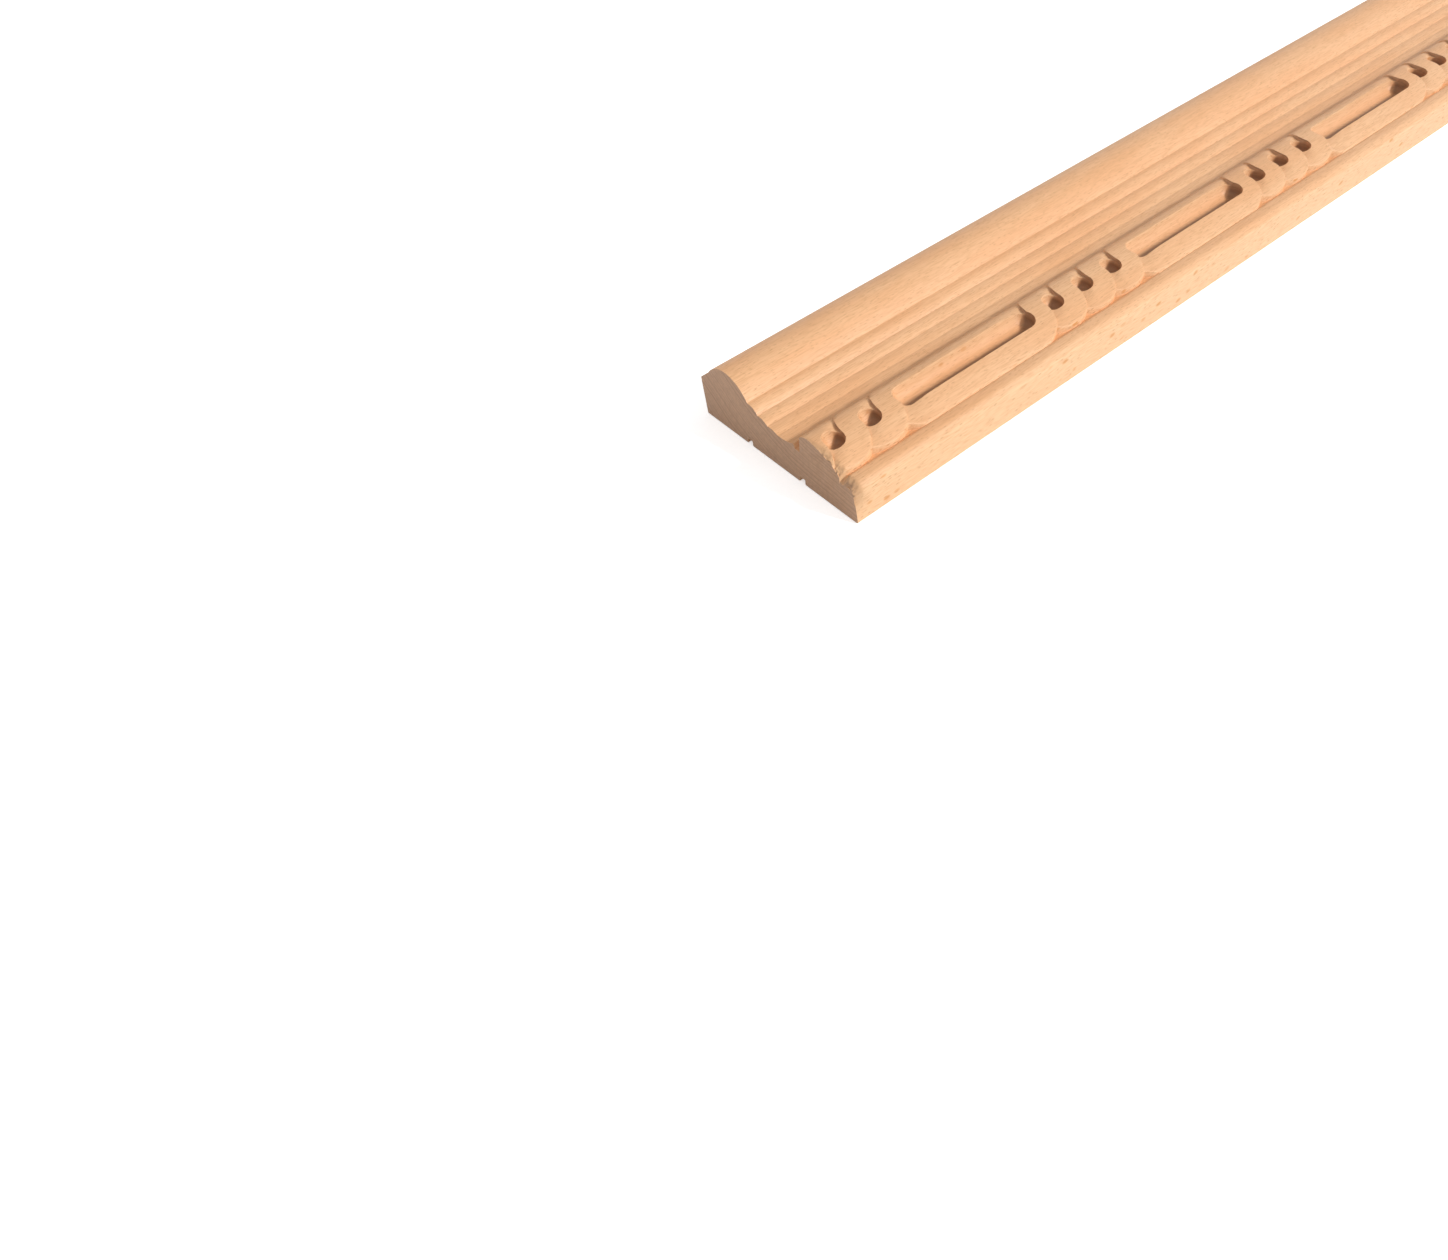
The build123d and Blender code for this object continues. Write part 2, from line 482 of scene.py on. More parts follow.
def slot_rows(end, side):
    """Half of a long slot, from the module's edge round its end; side is 1 if it runs right."""
    edge = RIGHT if side > 0 else LEFT
    low_rim = rim(edge, -math.pi / 2, SLOT_RADIUS, level=True)
    high_rim = rim(edge, math.pi / 2, SLOT_RADIUS, level=True)
    angles = [-math.pi / 2 - side * math.pi * i / TURN_STEPS for i in range(TURN_STEPS + 1)]
    steps = SLOT_STEPS
    rows = []
    for part in PIT_ROWS:
        low = [(edge + (end - edge) * i / steps, -low_rim * part) for i in range(steps)]
        high = [(end + (edge - end) * i / steps, high_rim * part) for i in range(1, steps + 1)]
        rows.append(low + around(end, angles, SLOT_RADIUS, part) + high)
    return rows


EYE_ROWS = [row for eye in EYES for row in eye_rows(eye)]
SLOT_ROWS = slot_rows(SLOT_ENDS[0], -1) + slot_rows(SLOT_ENDS[1], 1)
print("rows round the pits", len(EYE_ROWS) + len(SLOT_ROWS))

# %% Rows along the steps at the crossings
STEP_POINTS = 40
STEP_TURN = 0.42
STEP_SHIFTS = (-0.14, -0.06, 0.0, 0.09)
PIT_CLEARANCE = 2.6


def step_row(over, side, radius):
    """Part of a circle round the over strand's eye, where it lies on the chain and off the pits."""
    line = []
    for i in range(STEP_POINTS):
        angle = math.pi - math.pi * STEP_TURN * i / (STEP_POINTS - 1)
        u = over + side * radius * math.cos(angle)
        v = side * radius * math.sin(angle)
        hole = min([math.hypot(u - eye, v) for eye in EYES] + [from_slot(u, v)])
        if inside(u, v) > SOFT + 0.05 and hole > PIT_CLEARANCE:
            line.append((u, v))
    return line


def step_rows():
    """The over strand's edge at each crossing, above and below."""
    rows = [
        step_row(crossing + side * HALF_PITCH, side, OVER_RADIUS + shift)
        for crossing in CROSSINGS for side in (1, -1) for shift in STEP_SHIFTS
    ]
    return [row for row in rows if len(row) > 2]


ROWS = OUTLINE_ROWS + step_rows() + EYE_ROWS + SLOT_ROWS
print("rows", len(ROWS), "points", sum(len(row) for row in ROWS))

# %% [markdown]
# The grid between the rows is left out near them, where it would only make slivers, and thinned
# along the plain stretch of the long link. A few straight lines carry the quirk and the lip's
# rise, and both ends of the plan get the same points, so that neighbouring repeats can be welded.

# %% Plan of one repeat
TOP_V = CHAIN_MIDDLE - BAND_START
LOW_V = CHAIN_MIDDLE - BAND_END
CUTS = [LEFT + REPEAT * i / 14 for i in range(15)]
GROUND_LINES = [-7.6, -7.9, -8.3, -8.7, 9.25, 9.08, 8.84, 8.66]
GRID = 0.72
PLAIN_RUN = 13
MARGIN = 0.3
ROW_GAP = 0.34


def edge_values():
    """Places across the band where two repeats meet."""
    values = [TOP_V, LOW_V] + GROUND_LINES
    values += [line[0][1] for line in ROWS if abs(line[0][0] - LEFT) < 1e-6]
    values += [line[-1][1] for line in ROWS if abs(line[-1][0] - LEFT) < 1e-6]
    for v in spaced(-7.2, 7.2, 0.8):
        if min(abs(v - w) for w in values) > 0.35:
            values.append(v)
    return sorted(set(round(v, 6) for v in values))


def grid_points(tree):
    """A staggered grid on the chain, away from the rows, with fewer points on the plain link."""
    points = []
    for j in range(int((TOP_V - LOW_V) / GRID)):
        for i in range(int(REPEAT / GRID)):
            u = LEFT + (i + 0.5 + 0.5 * (j % 2)) * GRID
            v = LOW_V + (j + 0.7) * GRID
            plain = abs(u - MIDDLE) > HALF - PLAIN_RUN and (abs(v) > 3.2 or abs(v) < 2)
            if (plain and i % 3) or u >= RIGHT - MARGIN or v >= TOP_V - MARGIN:
                continue
            if inside(u, v) > MARGIN and tree.find((u, v, 0))[2] > ROW_GAP:
                points.append((u, v))
    return points


def plan():
    """Triangles of the band seen from above."""
    values = edge_values()
    rows = ROWS + [[(u, v) for u in CUTS] for v in GROUND_LINES]
    rows += [[(u, v) for v in values] for u in (LEFT, RIGHT)]
    rows += [[(u, v) for u in CUTS] for v in (TOP_V, LOW_V)]
    points, lines = [], []
    for row in rows:
        first = len(points)
        points.extend(row)
        lines.extend((first + i, first + i + 1) for i in range(len(row) - 1))
    tree = KDTree(len(points))
    for i, (u, v) in enumerate(points):
        tree.insert((u, v, 0), i)
    tree.balance()
    points += grid_points(tree)
    return delaunay_2d_cdt([Vector(p) for p in points], lines, [], 0, 1e-5)


plan_points, _, plan_faces, *_ = plan()
print("plan", len(plan_points), "points", len(plan_faces), "faces")

# %% [markdown]
# ## One repeat
# The module is a tube of wood, one repeat long and open at both ends: the lifted plan on top and
# the plain lines of the section round the rest. Three attributes go with its points, for the tree
# and the material to read: how much is carved, what the cutter cut, and the pits' painted shade.

# %% One module
def make_module():
    mesh = bmesh.new()
    # the last attribute marks where shade is painted into the pits
    carved, cut, painted_shade = [mesh.verts.layers.float.new(name) for name in ("carved", "cut", "painted_shade")]
    found = {}

    def vertex(u, d, z, amount=0.0, marks=(0.0, 0.0)):
        key = (round(u, 3), round(d, 3), round(z, 3))
        if key not in found:
            found[key] = mesh.verts.new((u * MM, (WIDTH / 2 - d) * MM, z * MM))
            found[key][carved] = amount
            found[key][cut], found[key][painted_shade] = marks
        return found[key]

    lifted = []
    for u, v in plan_points:
        amount = min(max(inside(u, v) - 0.1, 0.0), 1.0)
        lifted.append(vertex(u, CHAIN_MIDDLE - v, height(u, v), amount, cut_and_shade(u, v)))
    for face in plan_faces:
        corners = [lifted[i] for i in face]
        if len(set(corners)) == 3 and not mesh.faces.get(corners):
            mesh.faces.new(corners)
    for line in (ROLL_LINE, LIP_LINE):
        for (d0, z0), (d1, z1) in zip(line, line[1:]):
            for u0, u1 in zip(CUTS, CUTS[1:]):
                places = ((u0, d0, z0), (u1, d0, z0), (u1, d1, z1), (u0, d1, z1))
                corners = [vertex(*place) for place in places]
                if len(set(corners)) == 4:
                    mesh.faces.new(corners)
    bmesh.ops.remove_doubles(mesh, verts=mesh.verts, dist=1e-6)
    bmesh.ops.recalc_face_normals(mesh, faces=mesh.faces)
    data = bpy.data.meshes.new("module")
    mesh.to_mesh(data)
    open_edges = sum(1 for e in mesh.edges if len(e.link_faces) == 1)
    crowded = sum(1 for e in mesh.edges if len(e.link_faces) > 2)
    mesh.free()
    print("module faces", len(data.polygons), "open", open_edges, "crowded edges", crowded)
    return data


def show(name, data):
    """An object for a mesh, in the scene."""
    made = bpy.data.objects.new(name, data)
    bpy.context.scene.collection.objects.link(made)
    return made


module = show("module", make_module())

# %% [markdown]
# ## Building node trees in script
# Every tree below is wired by a few small helpers. One makes a node and fills its inputs, linking
# those that are sockets. Another makes a Math node and hands back its result, so that a formula
# reads almost like a formula.

# %% Node helpers
def is_socket(value):
    return isinstance(value, bpy.types.NodeSocket)


def put(tree, kind, settings=None, **inputs):
    """A new node; an input goes by its name, with _ for a space, or by i and its number."""
    made = tree.nodes.new(kind)
    for name, value in (settings or {}).items():
        setattr(made, name, value)
    for name, value in inputs.items():
        numbered = name[0] == "i" and name[1:].isdigit()
        socket = made.inputs[int(name[1:]) if numbered else name.replace("_", " ")]
        if is_socket(value):
            tree.links.new(value, socket)
        else:
            socket.default_value = value
    return made


def calc(tree, operation, a, b=0.0, c=0.0, clamp=False):
    """The result of a Math node."""
    settings = {"operation": operation, "use_clamp": clamp}
    return put(tree, "ShaderNodeMath", settings, i0=a, i1=b, i2=c).outputs[0]


def times(tree, first, *factors):
    """The product of all factors."""
    for factor in factors:
        first = calc(tree, "MULTIPLY", first, factor)
    return first


def ramp(tree, value, low, high):
    """0 below low, 1 above high, with a smooth step between."""
    settings = {"interpolation_type": "SMOOTHSTEP"}
    made = put(tree, "ShaderNodeMapRange", settings, Value=value, From_Min=low, From_Max=high)
    return made.outputs["Result"]


def tint(tree, amount, first, second):
    """Mixes two colours, each a triple or a socket."""
    first, second = [c if is_socket(c) else (*c, 1.0) for c in (first, second)]
    made = put(tree, "ShaderNodeMix", {"data_type": "RGBA"}, i0=amount, i6=first, i7=second)
    return made.outputs[2]


def vector_calc(tree, operation, *inputs):
    """The outputs of a Vector Math node."""
    named = {f"i{index}": value for index, value in enumerate(inputs)}
    return put(tree, "ShaderNodeVectorMath", {"operation": operation}, **named).outputs


def blur(tree, vector, sizes, detail=1.0):
    """The outputs of a noise whose blobs have about these sizes."""
    place = vector_calc(tree, "DIVIDE", vector, sizes)[0]
    return put(tree, "ShaderNodeTexNoise", Vector=place, Scale=1.0, Detail=detail).outputs


print("node helpers ready")

# %% [markdown]
# ## Beech
# Beech is a pale, pinkish tan wood. Three things make it beech and no other: thin growth rings,
# which show as quiet streaks along the faces and as lines on the cut end; rays, which are thin
# sheets across the rings and show as short dark dashes on top and as wider flecks on the side; and
# very fine pores. All three are built here as one solid pattern in millimetres, so each face cuts
# through it as a saw would, and the end matches the faces.

# %% Figure of the wood
RING_TILT = math.radians(20)
RING_WIDTH = 1.15
PITH = (0.0, -31.0, 96.0)
FIGURE_PARTS = ("Patch", "Ring", "Streak", "Fibre", "Dash", "Fleck", "Pore")


def growth_rings(tree, place):
    """Saw-tooth rings round the pith, as wide as good and bad years make them."""
    across = vector_calc(tree, "MULTIPLY", place, (0.0, 1.0, 1.0))[0]
    away = vector_calc(tree, "DISTANCE", across, PITH)["Value"]
    weather = put(tree, "ShaderNodeTexNoise", {"noise_dimensions": "1D"},
                  W=calc(tree, "DIVIDE", away, 2.6), Scale=1.0, Detail=1.0).outputs["Fac"]
    years = calc(tree, "ADD", calc(tree, "DIVIDE", away, RING_WIDTH), times(tree, weather, 1.6))
    return calc(tree, "POWER", calc(tree, "FRACT", years), 3.0)


def specks(tree, place, sizes, small, large, share):
    """Small marks of about these sizes, in a share of the cells."""
    cells = put(tree, "ShaderNodeTexVoronoi", Vector=vector_calc(tree, "DIVIDE", place, sizes)[0],
                Scale=1.0, Randomness=1.0).outputs
    near = calc(tree, "SUBTRACT", 1.0, ramp(tree, cells["Distance"], small, large))
    chosen = put(tree, "ShaderNodeSeparateColor", Color=cells["Color"]).outputs[0]
    return times(tree, near, ramp(tree, chosen, 1.0 - share, 1.25 - share))


def beech_figure():
    tree = bpy.data.node_groups.new("beech figure", "ShaderNodeTree")
    tree.interface.new_socket("Place", in_out="INPUT", socket_type="NodeSocketVector")
    for name in FIGURE_PARTS:
        tree.interface.new_socket(name, in_out="OUTPUT", socket_type="NodeSocketFloat")
    given = tree.nodes.new("NodeGroupInput").outputs["Place"]
    millimetres = put(tree, "ShaderNodeVectorMath", {"operation": "SCALE"}, Vector=given,
                      Scale=1000.0)
    place = millimetres.outputs[0]
    drift = blur(tree, place, (110.0, 30.0, 30.0), 2.0)["Color"]
    wavy = vector_calc(tree, "MULTIPLY_ADD", drift, (0.0, 5.0, 5.0), place)[0]
    turned = put(tree, "ShaderNodeVectorRotate", {"rotation_type": "X_AXIS"},
                 Vector=place, Angle=-RING_TILT).outputs[0]
    put(
        tree, "NodeGroupOutput",
        Patch=blur(tree, place, (45.0, 9.0, 9.0), 2.0)["Fac"],
        Ring=growth_rings(tree, wavy),
        Streak=blur(tree, wavy, (70.0, 1.0, 1.0), 2.0)["Fac"],
        Fibre=blur(tree, place, (3.6, 0.24, 0.24), 2.0)["Fac"],
        Dash=specks(tree, turned, (2.2, 0.42, 2.0), 0.08, 0.32, 0.9),
        Fleck=specks(tree, turned, (4.6, 1.7, 3.0), 0.12, 0.30, 0.5),
        Pore=blur(tree, place, (3.0, 0.16, 0.16), 0.0)["Fac"],
    )
    return tree


figure = beech_figure()
print("figure nodes", len(figure.nodes))

# %% [markdown]
# The material asks which way a face looks, in the object's own coordinates. Faces that look along
# the wood are end grain, which soaks up light and shows the rings; the lip's side face is cut
# across the rings and is paler, with the larger flecks. The rest is the warm tan of the planed
# top. The pits are a little darker and warmer all over, and their deep half gets painted shade, a
# dark brown in place of the shadow there; torn wood shows fresh pale fibres. A faint bump from
# the fibres and the rays breaks up the reflection, and nothing is glossy, since the wood is
# unfinished.

# %% Beech material
PLANED = ((0.80, 0.43, 0.21), (0.83, 0.49, 0.262))
STREAK = (0.68, 0.36, 0.167)
RING = (0.62, 0.30, 0.132)
SIDE_FACE = (0.89, 0.59, 0.345)
FIBRE = (0.64, 0.33, 0.150)
RAY_DASH = (0.46, 0.21, 0.079)
RAY_FLECK = (0.66, 0.29, 0.088)
END_GRAIN = (0.66, 0.385, 0.22)
END_RING = (0.38, 0.20, 0.11)
END_STREAK = (0.43, 0.24, 0.14)
END_PORE = (0.38, 0.20, 0.12)
PIT_WALL = (0.78, 0.38, 0.17)
# painted shade: the dark brown laid into the deep half of each pit, where its shadow falls
PAINTED_PIT_SHADE = (0.15, 0.06, 0.022)
TORN = ((0.74, 0.42, 0.20), (0.92, 0.60, 0.35))


def layered(tree, colour, layers):
    """A colour with others laid over it, each by its own amount."""
    for amount, over in layers:
        colour = tint(tree, amount, colour, over)
    return colour


def mark(tree, name):
    """One of the mesh's own attributes."""
    return put(tree, "ShaderNodeAttribute", {"attribute_name": name}).outputs["Fac"]


def wood_colour(tree, grain, end, side):
    """The colour of planed wood, side face, end grain, pits and torn wood, in that order."""
    face = layered(tree, tint(tree, ramp(tree, grain["Patch"], 0.3, 0.7), *PLANED), [
        (times(tree, ramp(tree, grain["Streak"], 0.5, 0.8), 0.3), STREAK),
        (times(tree, grain["Ring"], 0.14), RING),
        (times(tree, side, 0.6), SIDE_FACE),
        (times(tree, ramp(tree, grain["Fibre"], 0.4, 0.72), 0.6), FIBRE),
        (times(tree, grain["Dash"], 0.5), RAY_DASH),
        (times(tree, grain["Fleck"], side, 0.9), RAY_FLECK),
    ])
    sawn = layered(tree, END_GRAIN, [
        (times(tree, grain["Ring"], 0.75), END_RING),
        (times(tree, ramp(tree, grain["Streak"], 0.35, 0.75), 0.4), END_STREAK),
        (times(tree, grain["Pore"], 0.35), END_PORE),
    ])
    pits = mark(tree, "cut")
    fresh = tint(tree, ramp(tree, grain["Fibre"], 0.35, 0.65), *TORN)
    off_the_end = calc(tree, "SUBTRACT", 0.45, times(tree, end, 0.45))
    return layered(tree, face, [
        (end, sawn),
        (times(tree, pits, 0.3), PIT_WALL),
        # painted shade in the deep half of each pit, where its shadow falls
        (times(tree, pits, 0.72, mark(tree, "painted_shade")), PAINTED_PIT_SHADE),
        (times(tree, mark(tree, "torn"), off_the_end), fresh),
    ])


def make_beech():
    made = bpy.data.materials.new("beech")
    made.use_nodes = True
    tree = made.node_tree
    shader = tree.nodes["Principled BSDF"]
    where = tree.nodes.new("ShaderNodeTexCoord").outputs
    grain = put(tree, "ShaderNodeGroup", {"node_tree": figure}, Place=where["Object"]).outputs
    normal = put(tree, "ShaderNodeSeparateXYZ", Vector=where["Normal"]).outputs
    end = ramp(tree, calc(tree, "ABSOLUTE", normal["X"]), 0.6, 0.92)
    side = ramp(tree, times(tree, normal["Y"], -1.0), 0.75, 0.95)
    tree.links.new(wood_colour(tree, grain, end, side), shader.inputs["Base Color"])
    rough = calc(tree, "MULTIPLY_ADD", grain["Fibre"], 0.18, 0.46)
    tree.links.new(rough, shader.inputs["Roughness"])
    relief = calc(tree, "SUBTRACT", times(tree, grain["Fibre"], 0.6), grain["Dash"])
    relief = calc(tree, "SUBTRACT", relief, times(tree, grain["Ring"], end, 1.5))
    bump = put(tree, "ShaderNodeBump", Strength=0.35, Distance=0.00006, Height=relief)
    tree.links.new(bump.outputs["Normal"], shader.inputs["Normal"])
    return made


beech = make_beech()
print("beech nodes", len(beech.node_tree.nodes))

# %% [markdown]
# ## Running the module along the wood
# Geometry Nodes repeat the module: a line of points, one instance on each, realized and welded
# into one mesh. A little seeded noise lowers the carved parts unevenly, because no two links of
# real carving are quite alike.

# %% The repeating tree
RUN_INPUTS = {
    "Module": "NodeSocketObject", "Count": "NodeSocketInt", "Start": "NodeSocketFloat",
    "Pitch": "NodeSocketFloat", "Unevenness": "NodeSocketFloat", "Seed": "NodeSocketFloat",
    "Finish": "NodeSocketMaterial",
}


def repeating_tree():
    tree = bpy.data.node_groups.new("chain run", "GeometryNodeTree")
    tree.interface.new_socket("Geometry", in_out="OUTPUT", socket_type="NodeSocketGeometry")
    for name, kind in RUN_INPUTS.items():
        tree.interface.new_socket(name, in_out="INPUT", socket_type=kind)
    given = tree.nodes.new("NodeGroupInput").outputs

    start = put(tree, "ShaderNodeCombineXYZ", X=given["Start"]).outputs[0]
    pitch = put(tree, "ShaderNodeCombineXYZ", X=given["Pitch"]).outputs[0]
    line = put(tree, "GeometryNodeMeshLine", Count=given["Count"], Start_Location=start,
               Offset=pitch).outputs["Mesh"]
    info = put(tree, "GeometryNodeObjectInfo", Object=given["Module"]).outputs["Geometry"]
    copies = put(tree, "GeometryNodeInstanceOnPoints", Points=line, Instance=info).outputs[0]
    solid = put(tree, "GeometryNodeRealizeInstances", Geometry=copies).outputs[0]
    weld = put(tree, "GeometryNodeMergeByDistance", Geometry=solid, Distance=2e-6).outputs[0]

    carved = put(tree, "GeometryNodeInputNamedAttribute", {"data_type": "FLOAT"}, Name="carved")
    waver = put(tree, "ShaderNodeTexNoise", {"noise_dimensions": "4D"}, W=given["Seed"],
                Scale=160.0, Detail=1.0).outputs["Fac"]
    drop = times(tree, waver, given["Unevenness"], carved.outputs["Attribute"], -1.0)
    down = put(tree, "ShaderNodeCombineXYZ", Z=drop).outputs[0]
    move = put(tree, "GeometryNodeSetPosition", Geometry=weld, Offset=down).outputs[0]
    finish = put(tree, "GeometryNodeSetMaterial", Geometry=move, Material=given["Finish"])
    put(tree, "NodeGroupOutput", Geometry=finish.outputs[0])
    return tree


def set_inputs(modifier, values):
    """Sets a modifier's inputs by name, through each socket's identifier."""
    for item in modifier.node_group.interface.items_tree:
        if item.in_out == "INPUT" and item.name in values:
            modifier[item.identifier] = values[item.name]


# %% The long run
FIRST_EYE = 4.6
FIRST_GROUP = -LENGTH / 2 + FIRST_EYE - EYE_PITCH
COPIES = math.ceil(LENGTH / REPEAT) + 1
run = show("run", bpy.data.meshes.new("run"))
repeat = run.modifiers.new("repeat", "NODES")
repeat.node_group = repeating_tree()
set_inputs(repeat, {
    "Module": module, "Count": COPIES, "Start": FIRST_GROUP * MM, "Pitch": REPEAT * MM,
    "Unevenness": 0.12 * MM, "Seed": 4.0, "Finish": beech,
})
evaluated = run.evaluated_get(bpy.context.evaluated_depsgraph_get())
long_run = bpy.data.meshes.new_from_object(evaluated)
run.modifiers.clear()
bpy.data.objects.remove(run)
bpy.data.objects.remove(module)
print("run", len(long_run.vertices), "vertices")

# %% [markdown]
# ## Cutting to length
# The run is longer than the piece, so a plane cuts it at each end, as a saw does. The saw broke
# out some wood at the near end, from the chain to the lip. Sculpting could show that, but here
# the top edge and the side face's corner are sliced finely and moved unevenly, always into the
# wood, so that the piece stays inside its own size.

# %% Saw cuts
def cut_through(mesh, place, direction, geometry=None, clear=False):
    """Slices the mesh, or a part of it, with a plane."""
    if geometry is None:
        geometry = mesh.verts[:] + mesh.edges[:] + mesh.faces[:]
    bmesh.ops.bisect_plane(mesh, geom=geometry, dist=1e-7, plane_co=place, plane_no=direction,
                           clear_outer=clear)


def saw(mesh, x, keep):
    """Cuts the mesh at x and keeps the side towards keep."""
    cut_through(mesh, (x, 0, 0), (-keep, 0, 0), clear=True)


# %% Wood torn out at the near end
TEAR_RUN = 1.9
TEAR_SLICES = (0.2, 0.45, 0.75, 1.1, 1.5, TEAR_RUN)
TEAR_START = 41.0
TEAR_FOOT = 5.0
CORNER = 57.0
SIDE = 59.5


def slice_near(mesh, place, direction, start):
    """Slices only the torn stretch of the near end, from this distance to the side face."""
    end = (-LENGTH / 2 + TEAR_RUN) * MM + 1e-6
    near = [f for f in mesh.faces
            if all(v.co.x < end and v.co.y / MM <= WIDTH / 2 - start for v in f.verts)]
    parts = dict.fromkeys(part for f in near for part in (*f.verts, *f.edges))
    cut_through(mesh, place, direction, [*parts, *near])


def top_drop(d, along):
    """How far the top edge has broken down, at a distance across the wood and along it."""
    rough = noise.noise(Vector((d * 1.9, 3.0, along * 2.2 + 7.0)))
    flaky = noise.cell(Vector((d * 1.2, 3.0, along * 0.7)))
    depth = eased((d - TEAR_START) / 9.5) * 1.2 + eased((d - 50.0) / 6.0) * 0.9
    depth -= eased((d - 57.5) / 2.5) * 0.7
    run = 0.35 + (TEAR_RUN - 0.35) * eased((d - 42.0) / 10.0) * (0.9 + 0.08 * flaky)
    return depth * (1 + 0.3 * rough + 0.1 * flaky) * max(1 - along / run, 0.0) ** 1.3


def corner_bite(d, z, along):
    """How far the side face's corner has broken inwards."""
    bite = 1.4 * eased(z / 9.0) + 0.3 * noise.noise(Vector((z * 1.7, 5.0, along)))
    fade = max(1 - along / TEAR_RUN, 0.0) ** 1.2
    return max(bite, 0.0) * fade * (d - CORNER) / 3.0


def tear(mesh):
    """Breaks out the near end towards the lip, where the saw left the wood."""
    torn = mesh.verts.layers.float.new("torn")
    end = -LENGTH / 2
    for depth in TEAR_SLICES:
        cut_through(mesh, ((end + depth) * MM, 0, 0), (1, 0, 0))
    for d in spaced(TEAR_START, 59.7, 0.36):
        slice_near(mesh, (0, (WIDTH / 2 - d) * MM, 0), (0, 1, 0), TEAR_START - 2)
    for z in spaced(0.7, 9.6, 0.55):
        slice_near(mesh, (0, 0, z * MM), (0, 0, 1), SIDE)
    moved = 0
    for v in mesh.verts:
        d, z = WIDTH / 2 - v.co.y / MM, v.co.z / MM
        along = v.co.x / MM - end
        if along > TEAR_RUN + 0.01 or d < TEAR_START or z < 0.3:
            continue
        drop = top_drop(d, along) if z > TEAR_FOOT else 0.0
        if drop > 0.01:
            v.co.z -= drop * MM * (min((z - TEAR_FOOT) / 4.0, 1.0) if d > SIDE else 1.0)
            v[torn] = min(drop / 0.5, 1.0)
            moved += 1
        if d > CORNER:
            bite = corner_bite(d, z, along)
            v.co.y += bite * MM
            v[torn] = max(v[torn], min(bite / 0.25, 1.0))
    print("torn points", moved)


# %% The finished piece
def close_end(mesh, x):
    """Closes an open end with a triangulated face."""
    rim_edges = [e for e in mesh.edges
                 if len(e.link_faces) == 1 and all(abs(v.co.x - x) < 1e-6 for v in e.verts)]
    new = bmesh.ops.triangle_fill(mesh, edges=rim_edges, use_beauty=True)
    return len(new["geom"])


def make_piece():
    mesh = bmesh.new()
    mesh.from_mesh(long_run)
    for side in (-1, 1):
        saw(mesh, side * LENGTH / 2 * MM, -side)
    tear(mesh)
    for side in (-1, 1):
        print("end parts", close_end(mesh, side * LENGTH / 2 * MM))
    bmesh.ops.recalc_face_normals(mesh, faces=mesh.faces)
    print("open edges", sum(1 for e in mesh.edges if len(e.link_faces) != 2))
    data = bpy.data.meshes.new("wood moulding")
    mesh.to_mesh(data)
    mesh.free()
    data.shade_smooth()
    data.set_sharp_from_angle(angle=math.radians(38))
    data.calc_loop_triangles()
    print("triangles", len(data.loop_triangles))
    return data


piece = show("wood_moulding", make_piece())
piece.data.materials.clear()
piece.data.materials.append(beech)
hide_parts("moulding")
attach(piece, "root")

# %% [markdown]
# ## Floor
# The piece lies on plain white paper. The camera sees the paper pure white, while the light that
# bounces off it to the wood is a little weaker, as from real paper.

# %% Floor
PAPER = (0.82, 0.82, 0.82)
PAPER_GLOW = 0.58
WHITE = (1.0, 1.0, 1.0)
FLOOR_HALF = 6
FLOOR_GAP = 0.0002


def seen(tree):
    """1 for what the camera or a reflection sees, 0 for light on its way."""
    path = tree.nodes.new("ShaderNodeLightPath").outputs
    some = calc(tree, "ADD", path["Is Camera Ray"], path["Is Glossy Ray"])
    return calc(tree, "ADD", some, path["Is Transmission Ray"], clamp=True)


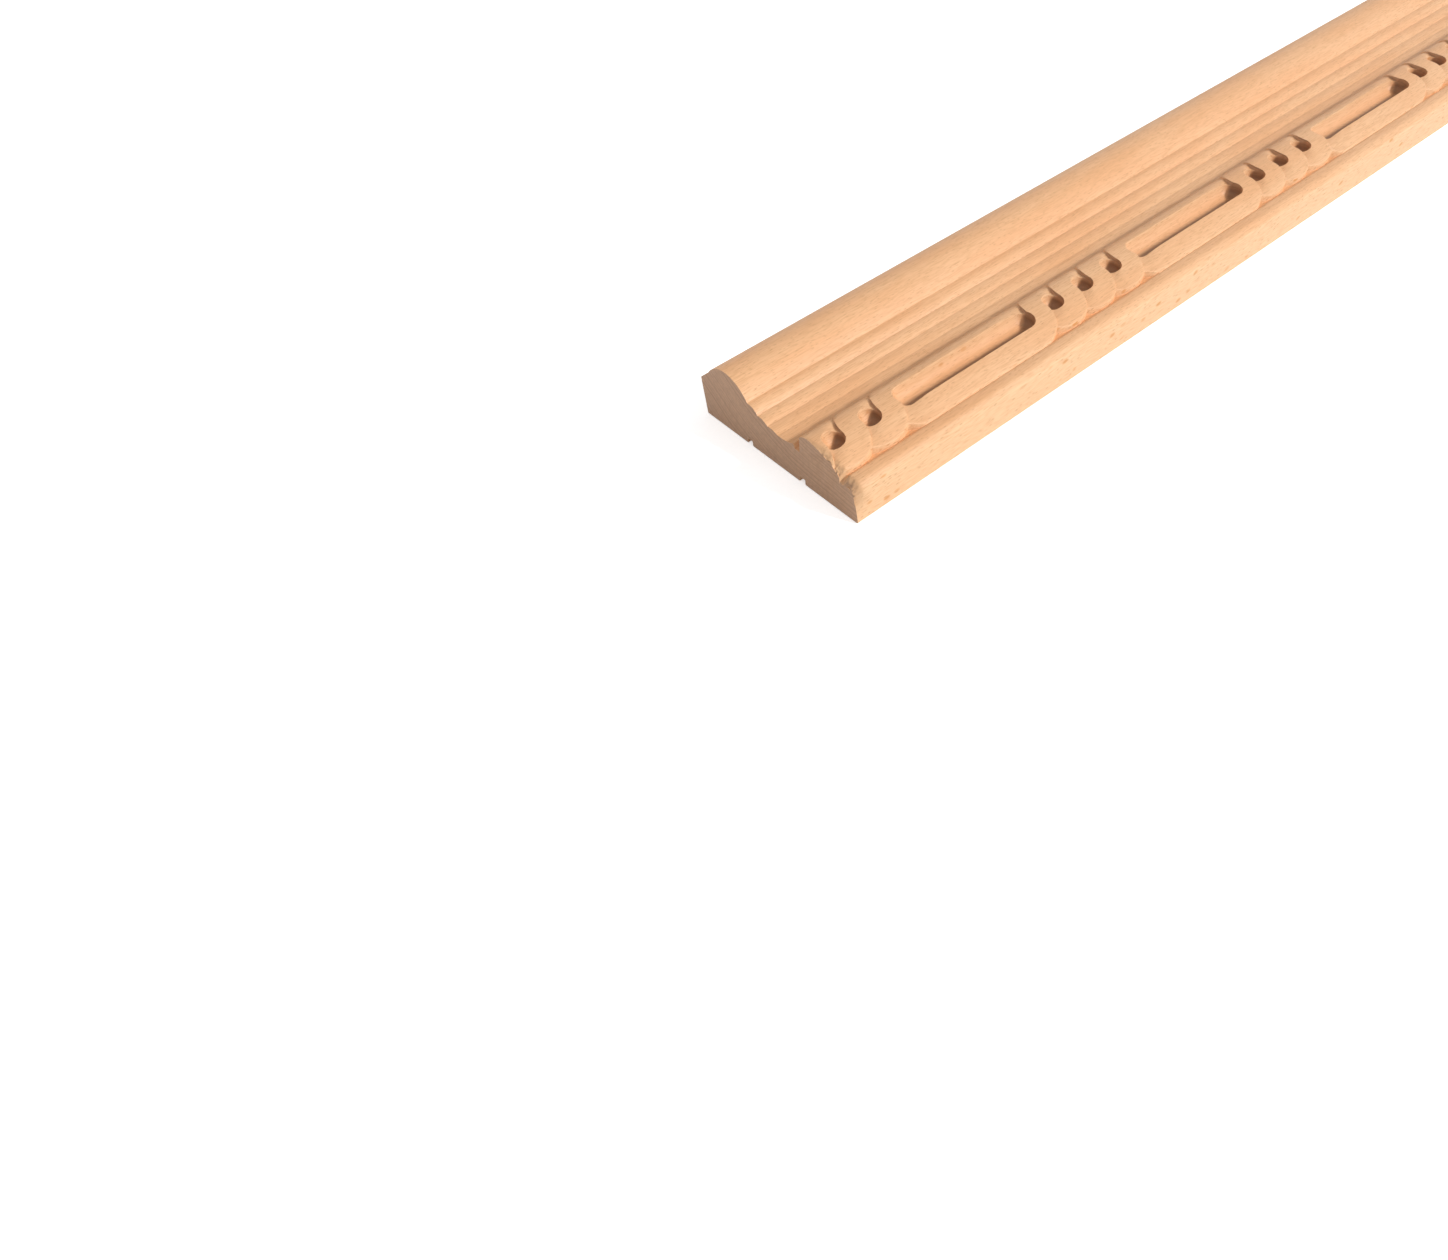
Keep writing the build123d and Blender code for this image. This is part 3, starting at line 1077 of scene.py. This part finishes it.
def white_paper():
    made = bpy.data.materials.new("white paper")
    made.use_nodes = True
    tree = made.node_tree
    shader = tree.nodes["Principled BSDF"].inputs
    shader["Roughness"].default_value = 0.9
    shader["Specular IOR Level"].default_value = 0.0
    shader["Emission Color"].default_value = (*WHITE, 1.0)
    looked_at = seen(tree)
    tree.links.new(tint(tree, looked_at, PAPER, WHITE), shader["Base Color"])
    tree.links.new(times(tree, looked_at, PAPER_GLOW), shader["Emission Strength"])
    return made


floor_mesh = bmesh.new()
bmesh.ops.create_grid(floor_mesh, x_segments=1, y_segments=1, size=FLOOR_HALF)
floor_data = bpy.data.meshes.new("floor")
floor_mesh.to_mesh(floor_data)
floor_mesh.free()
floor_data.materials.append(white_paper())
floor = show("floor", floor_data)
floor.location.z = -FLOOR_GAP
print("floor", 2 * FLOOR_HALF, "m wide")

# %% [markdown]
# ## Light
# Two lamps shine from the lip's side and above. The small one draws the edges of the shadows,
# lights the side face and leaves the cut end in shade; the wide one softens it. The pale
# surroundings fill the rest, at less than the white that the camera sees behind the piece.

# %% Light
FILL = 0.4
world = bpy.data.worlds.new("surroundings")
bpy.context.scene.world = world
world.use_nodes = True
sky = world.node_tree.nodes["Background"].inputs
sky["Color"].default_value = (*WHITE, 1.0)
sky_strength = calc(world.node_tree, "MULTIPLY_ADD", seen(world.node_tree), 1.0 - FILL, FILL)
world.node_tree.links.new(sky_strength, sky["Strength"])


def lamp(name, energy, spread, shines_towards):
    data = bpy.data.lights.new(name, "SUN")
    data.energy = energy
    data.angle = math.radians(spread)
    made = show(name, data)
    made.rotation_euler = Vector(shines_towards).to_track_quat("-Z", "Y").to_euler()
    print(name, energy)


lamp("window", 2.35, 4, (-0.38, 0.735, -0.57))
lamp("wide soft box above", 0.3, 70, (-0.2, 0.45, -0.87))

# %% [markdown]
# ## Camera
# The camera stands close to the near end and looks along the wood from the lip's side, with a wide
# lens, so that the carving is large in front and the straight lines run together far away. Its
# place was fitted to those lines.

# %% Camera
camera_data = bpy.data.cameras.new("camera")
camera_data.lens = 17.51
camera_data.sensor_width = 36.0
camera_data.clip_start = 0.01
camera = show("camera", camera_data)
camera.location = (-0.47893, -0.11569, 0.11864)
camera.rotation_euler = Euler([math.radians(a) for a in (36.529, 8.599, -36.198)], "XYZ")
bpy.context.scene.camera = camera
bpy.context.scene.view_settings.view_transform = "Standard"
print("lens", camera_data.lens)
